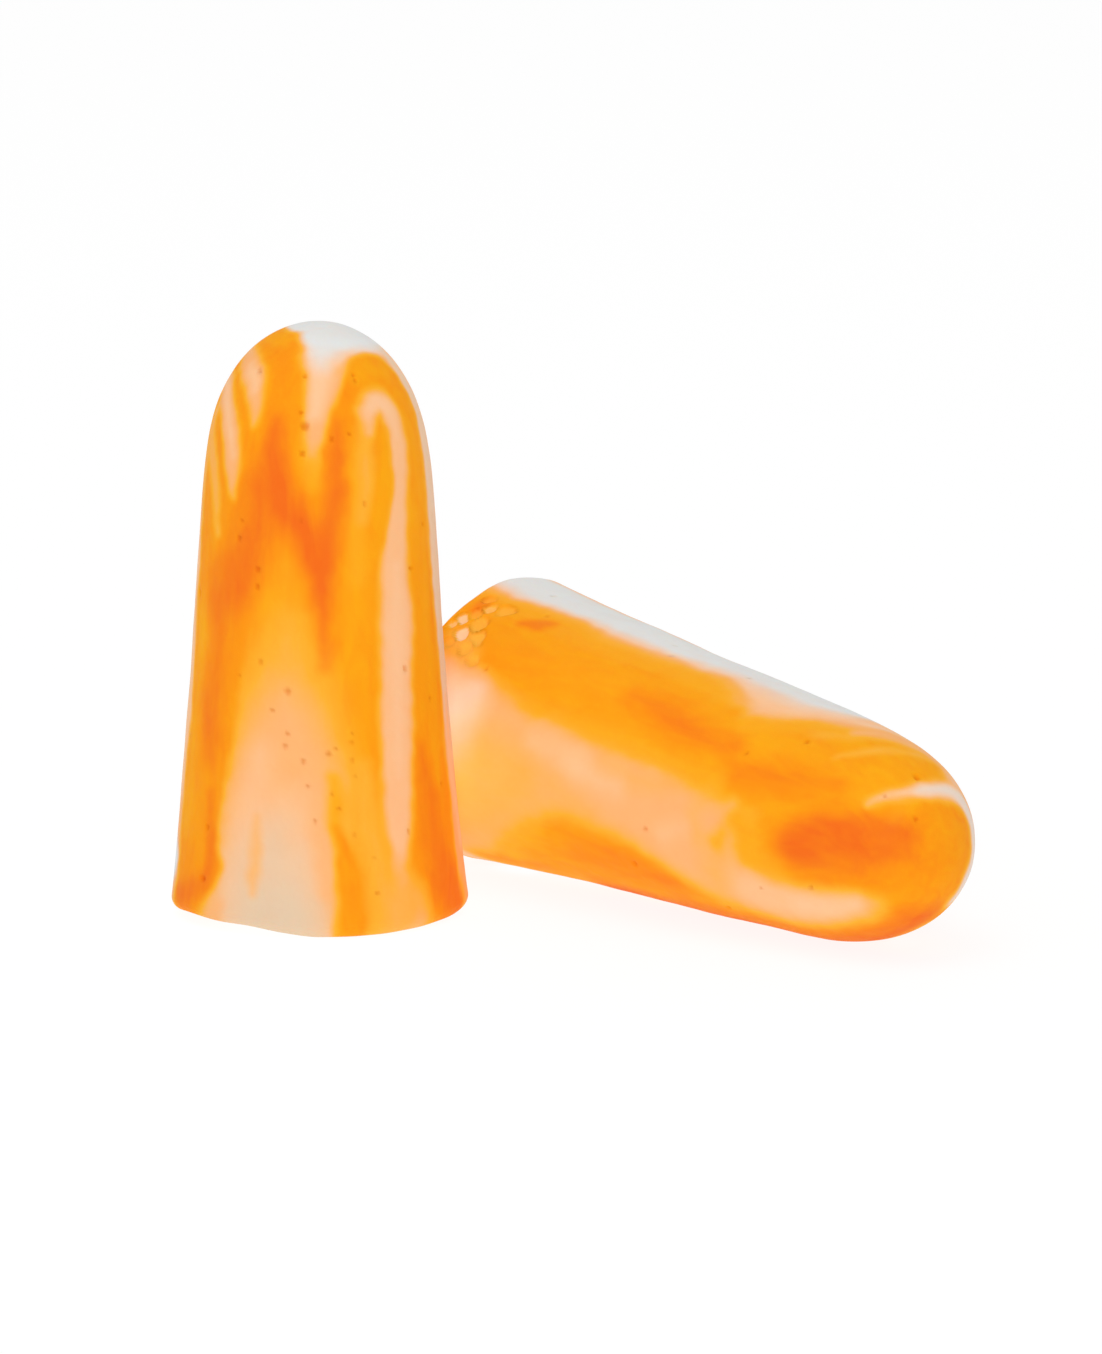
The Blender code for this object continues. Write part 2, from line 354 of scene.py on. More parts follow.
STANDING_STROKES = [
    # one broad orange sheet over the front, with lobes that reach up to the tip
    stroke("orange", (-40, 5, 2.3), (-40, 9, 3.0), (-40, 16, 3.3), (-40, 28, 3.6), soft=0.6),
    stroke("orange", (0, 9.5, 1.6), (0, 12, 3.0), (0, 28, 3.2), soft=1.6),
    stroke("orange", (40, 5.8, 1.9), (40, 9, 2.9), (40, 16, 3.1), (41, 28, 3.6), soft=0.5),
    stroke("orange", (-118, 2.1, 0.5), (-90, 2.15, 0.6), (-60, 2.2, 0.8), (-42, 2.35, 0.95),
           (-29, 3.2, 1.0), (-22, 4.6, 1.02), (-19, 6.5, 1.15), (-18, 9, 1.6), soft=0.6),
    stroke("orange", (10, 10, 1.0), (11.5, 8, 0.78), (13.5, 6.5, 0.6), (18, 5.3, 0.5), (25, 4.5, 0.5),
           (34, 3.95, 0.68), (45, 3.7, 0.83), (57, 3.95, 0.85), (65, 5.1, 0.74), (64.5, 7, 0.78),
           (61, 12, 0.9), soft=0.5),
    # paler gold between the deep veins
    stroke("marigold", (32, 3.8, 0.25), (45, 3.4, 0.35), (60, 3.8, 0.3), soft=0.6),
    stroke("marigold", (-92, 1.95, 0.3), (-60, 1.9, 0.4), (-38, 2.0, 0.35), soft=0.5),
    stroke("marigold", (62, 4.7, 0.4), (64, 8, 0.6), (60, 13, 0.8), (60, 17.5, 0.7), (62, 20.5, 0.3),
           soft=1.0),
    stroke("gold", (-15, 11.4, 0.6), (-15, 13, 1.1), (-14, 15, 1.4), soft=1.6, strength=0.6),
    stroke("marigold", (-68, 13.2, 0.3), (-68, 15.5, 0.5), (-67, 20, 0.5), (-68, 22.5, 0.6), soft=0.9),
    stroke("marigold", (20, 8, 0.6), (20, 11, 0.9), (19, 15, 0.9), (21, 18, 0.6), (25, 21, 0.3),
           soft=1.0),
    stroke("gold", (22, 6.5, 0.2), (22, 9, 0.4), (21, 12, 0.3), soft=0.9),
    stroke("amber", (29, 5.9, 0.24), (27, 7.5, 0.32), (24.5, 9.5, 0.24), soft=0.7, strength=0.7),
    stroke("gold", (0, 7.0, 0.34), (0, 8.1, 0.2), soft=1.0),
    # pale channel between the lobes
    stroke("peach", (1, 5, 0.32), (0.5, 6.0, 0.28), (0, 6.9, 0.12), soft=0.8, strength=0.85),
    stroke("pink", (3, 2.6, 0.6), (3, 3.6, 0.54), (2, 4.6, 0.42), (1, 5.3, 0.26), soft=0.75),
    stroke("pink", (6, 2.9, 0.5), (17, 3.0, 0.42), (27, 2.75, 0.28), (36, 2.5, 0.15), soft=0.5),
    stroke("chalk", (6, 2.5, 0.4), (20, 2.5, 0.35), (34, 2.2, 0.2), soft=0.8, strength=0.6),
    # pale lenses on the left
    stroke("peach", (-97, 3.0, 0.3), (-75, 3.15, 0.38), (-60, 3.45, 0.46), (-48, 3.85, 0.5),
           (-41, 4.5, 0.38), (-37, 5.2, 0.2), (-36, 5.7, 0.05), soft=0.5),
    stroke("pink", (-62, 3.4, 0.14), (-50, 3.75, 0.26), (-42, 4.3, 0.16), soft=0.5, strength=0.8),
    stroke("orange", (-95, 3.75, 0.1), (-76, 3.95, 0.14), (-62, 4.35, 0.16), (-52, 5.0, 0.16),
           (-44, 6.2, 0.2), (-40, 7.4, 0.2), soft=0.4),
    stroke("peach", (-100, 4.35, 0.4), (-80, 4.65, 0.46), (-65, 5.25, 0.5), (-54.5, 6.15, 0.55),
           (-48, 7.3, 0.48), (-46, 8.1, 0.3), (-45, 8.8, 0.08), soft=0.5),
    stroke("pink", (-84, 4.5, 0.24), (-68, 5.0, 0.26), (-53, 6.3, 0.2), (-48, 7.2, 0.14), soft=0.5,
           strength=0.8),
    stroke("amber", (-94, 6.4, 0.36), (-78, 6.9, 0.42), (-67, 7.8, 0.4), (-60, 8.9, 0.3),
           (-56, 10.4, 0.12), soft=0.55, strength=0.95),
    stroke("pink", (-104, 4.6, 0.5), (-100, 6.6, 0.9), (-96, 9, 0.9), (-95, 10.5, 1.1), (-92, 12, 1.2),
           (-93, 14, 1.1), (-90, 16, 1.3), (-89, 18, 1.5), (-90, 20, 1.3), (-93, 22, 1.0), soft=0.55),
    stroke("pink", (-116, 5, 0.3), (-110, 9, 0.8), (-104, 13, 1.1), (-102, 18, 1.3), (-108, 23, 1.0),
           (-118, 27, 0.6), soft=1.6),
    stroke("cream", (-104, 8, 0.2), (-98, 12, 0.5), (-96, 17, 0.8), (-98, 21, 0.5), soft=1.5),
    stroke("chalk", (-140, 17.5, 0.1), (-126, 20.5, 0.5), (-110, 22.8, 0.8), (-97, 23.8, 1.0),
           (-87, 24.2, 1.0), soft=0.7),
    # the inner pink arch and the orange tongue inside it
    stroke("rose", (31, 6.0, 0.16), (33, 5.3, 0.38), (39, 4.95, 0.46), (46, 5.0, 0.48), (49.5, 5.8, 0.5),
           (49, 7, 0.5), (46.5, 8.6, 0.46), (45, 10, 0.54), (42, 11.5, 0.68), (41, 13.5, 0.76),
           (39.5, 16, 0.82), (38, 18.7, 0.76), (36.5, 21.5, 0.6), (36, 23, 0.42), (36, 24.2, 0.2),
           soft=0.6),
    stroke("pink", (35, 5.1, 0.2), (42, 4.95, 0.28), (48, 5.4, 0.2), (49.5, 6.4, 0.1), soft=0.5,
           strength=0.85),
    stroke("pink", (43, 11.6, 0.2), (41, 14, 0.4), (39.5, 17, 0.3), (38, 20, 0.1), soft=0.6,
           strength=0.8),
    stroke("marigold", (40, 6.1, 0.16), (39.5, 6.9, 0.3), (38, 8.3, 0.4), (34, 9.9, 0.36),
           (30, 11, 0.2), soft=0.42),
    # the peach wedge that opens towards the base
    stroke("amber", (-11, 13.8, 0.4), (-13, 15.4, 1.3), (-13, 17.5, 2.1), (-12, 20, 2.6), soft=2.2,
           strength=0.7),
    stroke("peach", (-13, 16.6, 0.5), (-13, 18.2, 1.5), (-14, 20.2, 2.2), (-15, 23, 2.7), (-15, 28, 2.8),
           soft=2.2, strength=0.92),
    stroke("rose", (-24, 19, 0.5), (-28, 21.5, 1.0), (-32, 25.5, 1.1), soft=1.6, strength=0.9),
    stroke("rose", (-10, 21, 0.9), (-6, 24, 0.8), soft=1.4, strength=0.7),
    stroke("sand", (-17, 22.4, 0.9), (-18, 24.2, 1.9), (-17, 28, 2.5), soft=2.8),
    stroke("cream", (-14, 26.4, 1.8), (-13, 28, 1.9), soft=2.4, strength=0.8),
    stroke("peach", (2, 20.6, 0.3), (3, 22.6, 0.34), (5, 24.6, 0.3), soft=0.9, strength=0.8),
    stroke("peach", (-42, 25.6, 0.3), (-48, 26.6, 0.5), soft=0.9, strength=0.9),
    stroke("amber", (-25.5, 21.5, 0.08), (-25.5, 22.8, 0.24), (-26, 24.0, 0.26), (-26, 24.9, 0.1),
           soft=0.7, strength=0.62),
    stroke("gold", (7, 19.9, 0.2), (9, 20.9, 0.42), (9, 21.8, 0.3), soft=0.7),
    stroke("orange", (9, 21.9, 0.2), (11.5, 22.8, 0.4), (13.6, 24.3, 0.56), (13.8, 28, 0.62), soft=0.5),
    stroke("amber", (21, 19.5, 0.3), (23.5, 22, 0.5), (25.5, 24, 0.55), (26, 28, 0.6), soft=0.8,
           strength=0.6),
    stroke("amber", (34, 23.6, 0.3), (37, 24.8, 0.8), (39, 26, 1.2), (39, 28, 1.2), soft=1.1,
           strength=0.85),
    stroke("peach", (44, 26.0, 0.3), (40, 27, 0.5), soft=0.9, strength=0.6),
    # the orange that walls the wedge in on its left
    stroke("orange", (-45, 12.5, 1.0), (-48, 15, 1.2), (-49, 17, 1.15), (-49.5, 19, 1.0),
           (-52, 21, 0.85), (-53, 23, 0.85), (-50, 24.1, 0.95), (-57, 25.2, 0.7), soft=0.6),
    stroke("marigold", (-66, 14, 0.3), (-66, 16, 0.5), (-67, 18, 0.2), soft=0.9),
    # deeper orange where the pigment gathered
    stroke("deep", (-24, 5.6, 0.1), (-24, 6.9, 0.5), (-20, 8.1, 0.8), (-11, 9.3, 0.66), (-5, 10, 0.6),
           (1, 10.8, 0.7), (4, 12.3, 0.48), (4.5, 13.8, 0.3), (4.5, 15.4, 0.08), soft=1.3,
           strength=0.95),
    stroke("deep", (14, 5.6, 0.1), (13, 7, 0.3), (11.5, 8.5, 0.38), (8.5, 10, 0.5), (4, 11.2, 0.5),
           soft=1.0, strength=0.88),
    stroke("deep", (-27, 8.5, 0.6), (-31, 10.2, 0.8), (-38, 11.8, 0.95), (-43, 12.8, 0.8), soft=1.9,
           strength=0.85),
    stroke("deep", (-57, 11.8, 0.3), (-57, 13, 0.55), (-50, 14.4, 0.4), (-50, 16, 0.4),
           (-54, 17.8, 0.65), (-53, 19.4, 0.3), soft=1.7, strength=0.62),
    stroke("deep", (-50, 21, 0.12), (-48, 22.6, 0.2), (-47, 24, 0.3), (-54, 25, 0.55), (-64, 25.5, 0.6),
           (-73, 25.5, 0.4), soft=1.0, strength=0.65),
    stroke("deep", (52, 19.2, 0.1), (54, 21, 0.36), (57, 23, 0.62), (63, 24.8, 1.0), (72, 25.6, 1.0),
           soft=1.4, strength=0.72),
    # the pale right side, which faces the lying plug, and the chalky tip
    # straw and pink along the edge that faces the lying plug: partly the foam's pale colour, partly
    # painted light that lifts the shade cast by the lying plug
    stroke("straw", (90, 3.2, 0.6), (86, 5, 0.8), (82.5, 9, 0.95), (82, 14, 0.9), (82.5, 18, 0.7),
           (86, 20, 0.4), soft=0.6),
    stroke("pink", (80.5, 17.5, 0.3), (81, 19.5, 0.65), (83, 21, 0.6), (88, 23.4, 0.5), soft=0.9),
    stroke("pink", (102, 3.6, 0.9), (104, 6, 1.3), (110, 10, 1.9), (116, 15, 2.4), (120, 20, 2.6),
           (122, 28, 2.6), soft=0.9),
    stroke("chalk", (108, 7, 0.4), (114, 12, 0.9), (120, 18, 1.2), (124, 25, 0.8), soft=1.6),
    stroke("peach", (132, 8, 0.3), (137, 14, 0.5), (140, 21, 0.4), soft=1.0),
    stroke("chalk", (5, 2.4, 0.5), (3, 3.1, 0.42), soft=1.1, strength=0.6),
    stroke("chalk", (0, 0, 0.95), soft=0.6),
    stroke("chalk", (160, 0.9, 0.7), (195, 1.6, 0.3), soft=0.6),
    stroke("chalk", (-150, 0.8, 0.35), (-110, 0.85, 0.42), (-70, 0.85, 0.42), (-30, 0.9, 0.45),
           soft=0.5),
    stroke("chalk", (-12, 1.3, 0.3), (8, 1.5, 0.72), (50, 1.5, 0.95), (90, 1.7, 1.1), (120, 1.7, 1.1),
           soft=0.6),
    stroke("chalk", (6, 1.4, 0.5), (6, 2.1, 0.4), soft=1.1, strength=0.7),
]

LYING_STROKES = [
    # the orange tip runs into the broad band that comes up from the rim
    stroke("orange", (0, 0, 3.2), soft=1.4),
    stroke("orange", (45, 6, 3.0), (75, 6.0, 2.8), (90, 7.3, 1.8), soft=1.2),
    stroke("orange", (88, 3.0, 1.0), (100, 3.2, 0.9), (101, 5.5, 0.5), soft=1.0),
    stroke("marigold", (-12, 4.4, 1.0), (10, 4.4, 1.9), (30, 5.5, 2.2), soft=1.2),
    stroke("marigold", (45, 7.5, 2.0), (46, 9, 2.55), (50, 11, 2.1), (48, 12.6, 1.95), (39, 14, 2.4),
           (37, 16, 2.55), (38, 19, 2.5), (38, 22, 2.35), (35, 24, 2.15), (32.5, 26, 2.0),
           (32, 28.5, 1.8), soft=1.4),
    stroke("gold", (80, 9.8, 0.6), (88, 9.1, 0.8), (97, 8.9, 0.8), (103, 7.6, 0.5), soft=1.2),
    stroke("gold", (66, 11.2, 0.4), (64, 14, 0.3), (62, 18, 0.4), (60, 22, 0.3), soft=1.2),
    stroke("gold", (22, 13.8, 0.3), (16, 17, 0.4), (20, 21, 0.5), (18, 25, 0.4), soft=1.0),
    # the orange underside
    stroke("orange", (158, 2.5, 1.2), (158, 6, 1.5), (155, 10, 1.85), (148, 13, 2.3), (140, 16, 3.0),
           (137, 19, 3.1), (141, 21.5, 2.3), (147, 23.5, 1.5), (150, 26, 0.8), soft=1.8),
    stroke("gold", (118, 21.2, 0.3), (126, 22.4, 0.5), (138, 23.6, 0.5), soft=1.4),
    # pale washes between them
    stroke("peach", (-60, 3.6, 0.5), (-46, 4.6, 0.8), (-36, 6.5, 0.9), (-30, 9, 0.9), soft=1.0),
    stroke("rose", (121, 4.4, 0.4), (121, 6, 0.8), (120, 8, 0.9), (117, 10.4, 0.8), soft=1.3),
    stroke("pink", (121, 4.6, 0.3), (121, 6.5, 0.5), soft=1.3, strength=0.8),
    stroke("peach", (112, 11.4, 0.7), (98, 13, 1.2), (90, 15, 1.3), (83, 18, 1.1), (79, 20.5, 1.1),
           soft=1.6),
    stroke("amber", (92, 21.6, 1.4), (100, 23.8, 2.2), (108, 26, 2.6), (112, 28.4, 2.6), soft=2.4,
           strength=0.92),
    stroke("rose", (77, 18.6, 0.6), (75, 21, 0.5), soft=1.2, strength=0.8),
    # pink, chalk and cream where the standing plug nearly touches: partly the foam's pale colour, partly
    # painted light that lifts the shade in the narrow gap
    stroke("pink", (64, 24.4, 0.4), (68, 25.2, 1.2), (72, 26.5, 1.6), soft=1.4),
    stroke("chalk", (62, 24.8, 0.3), (70, 25.6, 0.8), (76, 27, 1.0), soft=1.4, strength=0.34),
    stroke("cream", (84, 25, 0.6), (100, 27, 1.2), (118, 28, 1.2), soft=1.8, strength=0.7),
    stroke("amber", (74, 11.2, 0.3), (84, 11.8, 0.4), (96, 11.6, 0.3), soft=1.1, strength=0.6),
    stroke("amber", (98, 10.6, 0.7), (112, 10.9, 0.7), (128, 10.9, 0.5), soft=1.8, strength=0.75),
    stroke("amber", (74, 13.2, 0.3), (78, 15.4, 0.4), (74, 17.2, 0.3), soft=1.2, strength=0.6),
    stroke("amber", (100, 17.4, 0.3), (92, 19.6, 0.5), soft=1.4, strength=0.6),
    stroke("pink", (84, 16.2, 0.4), (80, 18.6, 0.5), soft=1.3, strength=0.6),
    stroke("rose", (92, 12.4, 0.3), (98, 13.4, 0.4), soft=1.0, strength=0.7),
    stroke("peach", (74, 10.0, 0.2), (80, 10.6, 0.3), (86, 11.2, 0.3), soft=0.8, strength=0.6),
    stroke("marigold", (89, 10.4, 0.22), (95, 10.7, 0.3), soft=0.9, strength=0.8),
    # pale streaks above the band's head
    stroke("amber", (-30, 4.8, 0.2), (-10, 5.1, 0.2), (15, 5.8, 0.16), (30, 6.6, 0.06), soft=0.6,
           strength=0.8),
    stroke("amber", (-32, 6.0, 0.3), (-15, 6.4, 0.5), (4, 7.1, 0.5), (18, 8.3, 0.4), soft=1.1),
    stroke("gold", (12, 7.6, 0.3), (24, 9.4, 0.3), (34, 11.4, 0.2), soft=0.8),
    stroke("peach", (-38, 5.2, 0.5), (-22, 6.1, 0.4), (-6, 6.7, 0.26), (8, 7.3, 0.1), soft=0.8),
    stroke("pink", (-40, 6.4, 0.6), (-22, 7.6, 0.7), (-8, 8.4, 0.6), (4, 9.2, 0.3), soft=1.0),
    # the pale notch and the yellow fringe along the chalky back
    stroke("pink", (4, 9.4, 0.5), (10, 10.4, 0.8), (14, 11.4, 0.75), (13, 12.4, 0.5), (5, 13.8, 0.4),
           soft=1.3),
    stroke("pink", (4, 13.4, 0.3), (5, 16, 0.5), (7, 19, 0.5), (9, 21, 0.4), (8, 24, 0.35), (9, 28, 0.4),
           soft=0.8),
    stroke("amber", (21, 12.8, 0.3), (13, 14.6, 0.3), (13, 16.4, 0.2), (14, 18.2, 0.35), (16.5, 20, 0.3),
           (16, 21.6, 0.4), (13, 23.6, 0.3), (14.5, 25.4, 0.4), (17, 28, 0.3), soft=0.8, strength=0.85),
    stroke("gold", (22, 14, 0.3), (18, 15.6, 0.4), (19, 17.4, 0.3), (21, 19.4, 0.42), (20.5, 21, 0.36),
           (18, 22.6, 0.5), (18.5, 24.6, 0.42), (19.5, 26.4, 0.5), (22, 28, 0.3), soft=0.9),
    stroke("chalk", (-12, 9.4, 0.9), (-5, 10.8, 1.0), (-2, 12.2, 0.8), (-1, 14, 0.5), (2, 16, 0.3),
           soft=1.3, strength=0.55),
    stroke("chalk", (-26, 8.6, 0.5), (-16, 10.4, 1.1), (-13, 13, 1.1), (-10, 16, 1.05), (-7, 18, 1.15),
           (-6, 19.6, 1.12), (-6, 21.4, 1.26), (-6, 23, 1.16), (-5, 25, 1.35), (-4, 29, 1.45),
           soft=1.0),
    # thin pale vein across the tip
    stroke("pink", (-150, 2.3, 0.4), (-118, 2.1, 0.65), (-90, 2.35, 0.75), (-60, 2.7, 0.6),
           (-35, 3.0, 0.54), (-10, 3.05, 0.46), (12, 3.25, 0.36), (30, 3.7, 0.24), (47, 4.3, 0.08),
           soft=0.6),
    stroke("chalk", (-145, 2.3, 0.3), (-118, 2.1, 0.5), (-90, 2.35, 0.6), (-60, 2.7, 0.5),
           (-35, 3.0, 0.4), (-8, 3.1, 0.26), (14, 3.35, 0.1), soft=0.6, strength=0.6),
    # yellower foam round the burst bubbles
    stroke("amber", (42, 27.0, 0.7), (49, 26.0, 0.4), soft=0.8, strength=0.7),
    stroke("gold", (22, 26.4, 0.5), (30, 27.4, 0.4), soft=0.8, strength=0.8),
    # deeper orange where the pigment gathered, and along the underside partly painted shade
    stroke("deep", (56, 2.2, 0.3), (66, 3.3, 0.8), (74, 4.7, 0.95), (81, 6.0, 0.85), (86, 7.1, 0.4),
           soft=1.4, strength=0.9),
    stroke("deep", (74, 4.6, 0.4), (80, 5.9, 0.62), (84, 6.8, 0.5), soft=0.7, strength=0.75),
    stroke("deep", (70, 2.0, 0.5), (92, 4, 0.8), (94, 6.4, 0.4), soft=2.2, strength=0.35),
    stroke("deep", (48, 5.8, 0.3), (55, 8.6, 0.7), (58, 10.3, 0.5), soft=1.6, strength=0.5),
    stroke("deep", (128, 13.6, 0.3), (124, 16, 0.5), (126, 19, 0.4), soft=1.8, strength=0.5),
    stroke("deep", (47, 11.2, 0.4), (48, 13.2, 0.5), (43, 15.5, 0.6), (40, 17.3, 0.3), soft=1.5,
           strength=0.6),
    stroke("deep", (20, 23.7, 0.14), (23, 24.2, 0.36), (26, 24.9, 0.24), soft=0.7, strength=0.7),
    stroke("deep", (19, 27.6, 0.2), (24, 27.7, 0.3), (28, 27.7, 0.2), soft=0.6, strength=0.6),
    # deep orange along the underside: partly the dye, partly painted shade on the side turned to the
    # floor
    stroke("deep", (166, 3, 1.0), (164, 8, 1.2), (160, 12, 1.1), (157, 16, 0.9), (156, 19, 0.6),
           soft=2.0, strength=0.9),
]


FAR_SQUEEZE = 0.85  # how wide the moved swirls are, as a share of their width on the other plug


def far_side(strokes, turn, stretch):
    """The other plug's swirls moved round this one, for the side that its own strokes leave bare."""
    moved = []
    for one in strokes:
        points = tuple(
            (turn + FAR_SQUEEZE * at, stretch * below, wide) for at, below, wide in one["points"]
        )
        moved.append({**one, "points": points})
    return moved


# swirls across the cut base; here a point's second number is mm in from the base's edge
BASE_STROKES = [
    stroke("marigold", (-40, 0.2, 1.5), (-50, 2.0, 1.3), (-60, 4.0, 1.0), (-120, 4.8, 0.8),
           (175, 3.0, 0.8), (150, 0.6, 0.9), soft=0.8),
    stroke("orange", (20, 0.2, 1.0), (35, 1.8, 0.9), (60, 3.2, 0.8), (110, 3.4, 0.8), (120, 1.0, 0.8),
           soft=0.7),
    stroke("orange", (-150, 0.3, 0.9), (-140, 2.0, 0.7), (-110, 3.0, 0.5), soft=0.6),
    stroke("deep", (-45, 1.4, 0.3), (-60, 3.0, 0.5), (-110, 4.2, 0.3), soft=1.2, strength=0.8),
    stroke("deep", (38, 1.4, 0.2), (66, 2.8, 0.35), (105, 2.8, 0.2), soft=1.0, strength=0.7),
    stroke("cream", (80, 0.8, 0.7), (72, 1.6, 0.4), soft=0.9),
    stroke("cream", (-5, 2.2, 0.4), (10, 4.0, 0.6), (90, 5.2, 0.4), soft=0.9),
    stroke("chalk", (-95, 1.0, 0.5), (-90, 2.2, 0.3), soft=0.9, strength=0.8),
]


def on_the_base(plug, turn):
    """The base's swirls, turned by some degrees and started at this plug's base edge."""
    moved = []
    for one in BASE_STROKES:
        points = tuple((turn + at, plug.base_down + below, wide) for at, below, wide in one["points"])
        moved.append({**one, "points": points})
    return moved


# ---------------------------------------------------------------------------------------------
# Holes in the foam
# ---------------------------------------------------------------------------------------------

# (angle, mm down, radius in mm)
STANDING_PINHOLES = [
    (-5, 5.8, 0.20), (-6, 6.9, 0.14), (-28, 11.6, 0.13), (-28, 12.3, 0.12), (52, 11.8, 0.12),
    (-12, 16.4, 0.15), (-19, 17.2, 0.10), (-12, 18.1, 0.11), (-13, 18.6, 0.12), (6, 18.9, 0.13),
    (9, 18.7, 0.09), (-5, 19.2, 0.12), (16, 18.5, 0.09), (16, 19.2, 0.09), (17, 19.8, 0.08),
    (-3, 20.2, 0.10), (7, 20.5, 0.09), (0, 21.6, 0.10), (10, 21.1, 0.10), (16, 22.2, 0.09),
    (-51, 22.3, 0.12), (-51, 24.6, 0.16), (-75, 13.0, 0.12), (41, 22.3, 0.10), (25, 24.6, 0.10),
]
LYING_PINHOLES = [
    (5, 3.8, 0.16), (34, 2.4, 0.11), (36, 3.9, 0.09), (99, 14.5, 0.12), (121, 15.6, 0.14),
    (52, 24.9, 0.12), (48, 10.4, 0.10),
]
STRAY_PINHOLE = (0.06, 0.13)  # the smallest and largest radius of a scattered pinhole
STRAY_TOP = 1.5  # how near the tip they come
PINHOLE_DEPTH = 0.8  # as a share of the radius

# (angle, mm down, radius in mm, how pale its lining is)
RIM_BUBBLES = [
    (41, 27.2, 0.40, 1.0), (40.5, 26.35, 0.50, 0.5), (34.5, 27.75, 0.34, 0.95), (38.5, 28.0, 0.26, 0.7),
    (34, 26.75, 0.46, 0.4), (24.5, 27.0, 0.36, 0.6), (22.5, 26.3, 0.46, 0.34), (29, 27.3, 0.34, 0.3),
    (46, 26.5, 0.40, 0.42), (46.5, 27.4, 0.34, 0.3), (50.5, 25.8, 0.34, 0.4), (20, 27.6, 0.30, 0.3),
]
BUBBLE_DEPTH = 0.2
BUBBLE_SHALLOWING = 0.5  # a bubble's edge is this share shallower than its middle
BUBBLE_REACH = 4  # the cluster lies within this distance of its middle
BUBBLE_WAVES = (0.9, 0.07)  # (size, height) of the waves that make the bubbles' outlines uneven
BUBBLE_SEED = 50
PATCH_SIZE = 1.3  # the walls come and go over about this distance
PATCH_LEVEL = 0.6  # the higher it is, the more of the walls shows
PATCH_SEED = 70
# shares of a bubble's radius
BUBBLE_BOWL = (1.12, 0.3)  # (where the bowl ends, the width of its soft edge)
BUBBLE_LINING = (1.02, 0.25)  # the same for its pale lining
BETWEEN_BUBBLES = (1.25, 0.2)  # the same for a wall, measured from the second nearest bubble
BUBBLE_WALL = 0.5  # how wide the walls between bubbles are
BUBBLE_RIM_SHADE = 0.16  # how wide the painted shade line round the cluster is
RIM_SHADE_STRENGTH = 0.6


def scattered_pinholes(seed, count, bottom):
    """Stray pinholes all round the side, as (angle, mm down, radius in mm)."""
    random = np.random.default_rng(seed)
    return [
        (random.uniform(-180, 180), random.uniform(STRAY_TOP, bottom), random.uniform(*STRAY_PINHOLE))
        for _ in range(count)
    ]


def fade_out(away, end, width):
    """1 up to a width before the end, and 0 past the end."""
    return smooth_step((end - away) / width)


def rim_bubbles(plug, points, bubbles):
    """(move, painted shade on the walls and round the cluster's edge, pale lining) of a cluster of burst
    bubbles with thin walls between them.
    """
    centres = np.array([plug.points(at, below) for at, below, _, _ in bubbles])
    radii = np.array([radius for _, _, radius, _ in bubbles])
    pale = np.array([lining for _, _, _, lining in bubbles])
    move, walls, lining = (np.zeros(len(points)) for _ in range(3))
    near = np.where(np.linalg.norm(points - centres.mean(axis=0), axis=1) < BUBBLE_REACH)[0]
    size, height = BUBBLE_WAVES
    uneven = np.stack([waves(points[near], size, BUBBLE_SEED + k) for k in range(3)], axis=1) * height
    away = np.linalg.norm((points[near] + uneven)[:, None] - centres[None], axis=2) / radii
    order = np.argsort(away, axis=1)
    first = np.take_along_axis(away, order[:, :1], axis=1)[:, 0]
    second = np.take_along_axis(away, order[:, 1:2], axis=1)[:, 0]
    inside = fade_out(first, *BUBBLE_BOWL)
    open_part = smooth_step((second - first) / BUBBLE_WALL)
    bowl = 1 - BUBBLE_SHALLOWING * np.clip(first, 0, 1) ** 2
    move[near] = -BUBBLE_DEPTH * inside * open_part * bowl
    # painted shade: darker lines along the walls between bubbles and round the cluster's edge
    wall = inside * (1 - open_part) * fade_out(second, *BETWEEN_BUBBLES)
    edge = np.exp(-(((first - 1.0) / BUBBLE_RIM_SHADE) ** 2)) * RIM_SHADE_STRENGTH
    patchy = smooth_step(PATCH_LEVEL + waves(points[near], PATCH_SIZE, PATCH_SEED))
    walls[near] = np.maximum(wall, edge) * patchy
    lining[near] = fade_out(first, *BUBBLE_LINING) * open_part * pale[order[:, 0]]
    return move, walls, lining


SWELL = (7.0, 0.035)  # (size, height) of the waves that keep the foam from being perfectly round
RIPPLE = (1.6, 0.006)
BASE_CELLS = (0.42, 0.09)  # (size, depth) of the open cells in the cut base
BASE_CRATERS = (1.1, 0.06)
BASE_EDGE = 0.5  # the cells fade in over this distance from the base's edge
FULL_SHADE_DEPTH = 0.3  # cells this deep would be fully shaded


def carve(plug, angle, down, pinholes, bubbles, seed):
    """How far each point is moved out, and its shares of painted shade in pits and cells, painted shade
    on bubble walls, and bubble lining.
    """
    points = plug.points(angle, down)
    move = waves(points, SWELL[0], seed) * SWELL[1] + waves(points, RIPPLE[0], seed + 1) * RIPPLE[1]
    shade, walls, lining = (np.zeros(len(points)) for _ in range(3))
    for at, below, radius in pinholes:
        depth, dark = hollow(points, plug.points(at, below), radius, radius * PINHOLE_DEPTH)
        move += depth
        shade = np.maximum(shade, dark)
    if bubbles:
        sunk, walls, lining = rim_bubbles(plug, points, bubbles)
        move += sunk
    inside = smooth_step((down - plug.base_down) / BASE_EDGE)
    cells = open_cells(points, inside, *BASE_CELLS, seed + 2)
    cells += open_cells(points, inside, *BASE_CRATERS, seed + 3)
    return move + cells, np.maximum(shade, -cells / FULL_SHADE_DEPTH), walls, lining


# ---------------------------------------------------------------------------------------------
# Materials
# ---------------------------------------------------------------------------------------------

AMBER = linear(255, 178, 52)
MARIGOLD = linear(254, 170, 17)
ORANGE = linear(253, 150, 16)
DEEP = linear(244, 112, 26)
PIT_SHADE = linear(236, 212, 180)
WALL_SHADE = linear(214, 200, 152)
BUBBLE_GOLD = linear(255, 190, 70)
BUBBLE_CREAM = linear(255, 216, 172)
GRAIN_TINT = linear(240, 225, 205)
MOTTLE_TINT = linear(250, 215, 190)

